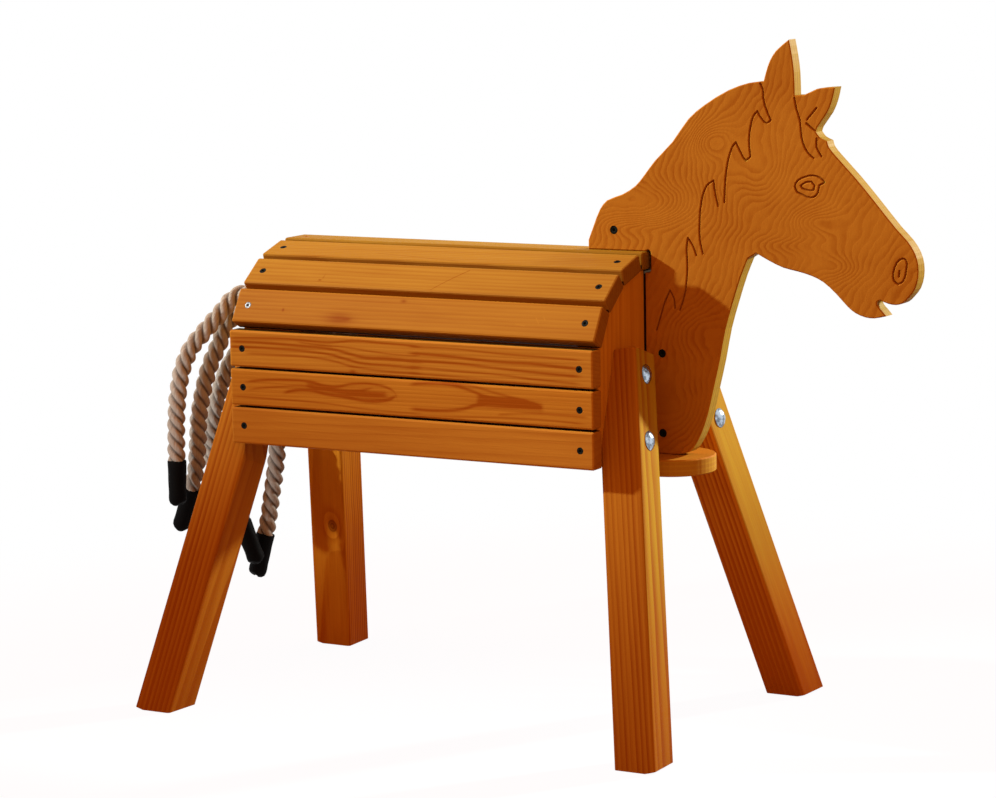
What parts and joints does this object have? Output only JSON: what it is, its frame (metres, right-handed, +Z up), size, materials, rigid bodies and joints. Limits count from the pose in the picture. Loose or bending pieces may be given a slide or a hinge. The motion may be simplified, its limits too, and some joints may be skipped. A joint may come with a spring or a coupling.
{
  "type": "wooden play horse",
  "caption": "Rideable garden play horse: slatted timber barrel on arched bulkheads, splayed square legs bolted at the ends, carved plywood head board and a rope tail.",
  "frame": {"origin": "middle of the horse's box on the floor, measured without the rope tail", "axes": "+X towards the head, +Y towards the horse's left side, +Z up"},
  "size_m": [1.0538, 0.488, 0.8582],
  "materials": {
    "pine": "honey-coloured stain, satin",
    "pine_shaded": "honey-coloured stain, satin",
    "plywood": "dark honey stain, satin, strong rotary-cut figure",
    "zinc": "bright zinc plate",
    "dark_steel": "dark phosphate",
    "rope": "three-strand hemp, dry",
    "black_cap": "matte black sleeve"
  },
  "bodies": {
    "root": {"slat_crest": "pine", "slat_right_a": "pine", "slat_right_b": "pine", "slat_right_c": "pine", "slat_right_d": "pine", "slat_right_e": "pine", "slat_right_f": "pine", "slat_left_a": "pine", "slat_left_b": "pine", "slat_left_c": "pine", "slat_left_d": "pine", "slat_left_e": "pine", "slat_left_f": "pine", "bulkhead_front": "pine_shaded", "bulkhead_rear": "pine_shaded", "leg_front_right": "pine", "leg_front_left": "pine", "leg_rear_right": "pine", "leg_rear_left": "pine", "bolt_front_right_upper": "zinc", "bolt_front_right_lower": "zinc", "bolt_front_left_upper": "zinc", "bolt_front_left_lower": "zinc", "bolt_rear_right_upper": "zinc", "bolt_rear_right_lower": "zinc", "bolt_rear_left_upper": "zinc", "bolt_rear_left_lower": "zinc", "nut_front_right_upper": "zinc", "nut_front_right_lower": "zinc", "nut_front_left_upper": "zinc", "nut_front_left_lower": "zinc", "nut_rear_right_upper": "zinc", "nut_rear_right_lower": "zinc", "nut_rear_left_upper": "zinc", "nut_rear_left_lower": "zinc", "head_board": "plywood", "neck_shelf": "plywood", "neck_batten": "pine_shaded", "crest_cleat": "pine_shaded", "neck_screw_upper": "dark_steel", "neck_screw_lower": "dark_steel", "neck_screw_crest": "dark_steel", "cleat_screw": "dark_steel", "batten_screw_upper": "dark_steel", "batten_screw_lower": "dark_steel", "shelf_screw_right": "dark_steel", "shelf_screw_left": "dark_steel", "shelf_screw_front": "dark_steel", "tail_rope_right_upper": "rope", "tail_rope_right_lower": "rope", "tail_rope_left_upper": "rope", "tail_rope_left_lower": "rope", "tail_knot_right_upper": "rope", "tail_knot_right_lower": "rope", "tail_knot_left_upper": "rope", "tail_knot_left_lower": "rope", "tail_cap_right_upper": "black_cap", "tail_cap_right_lower": "black_cap", "tail_cap_left_upper": "black_cap", "tail_cap_left_lower": "black_cap"}
  },
  "joints": []
}
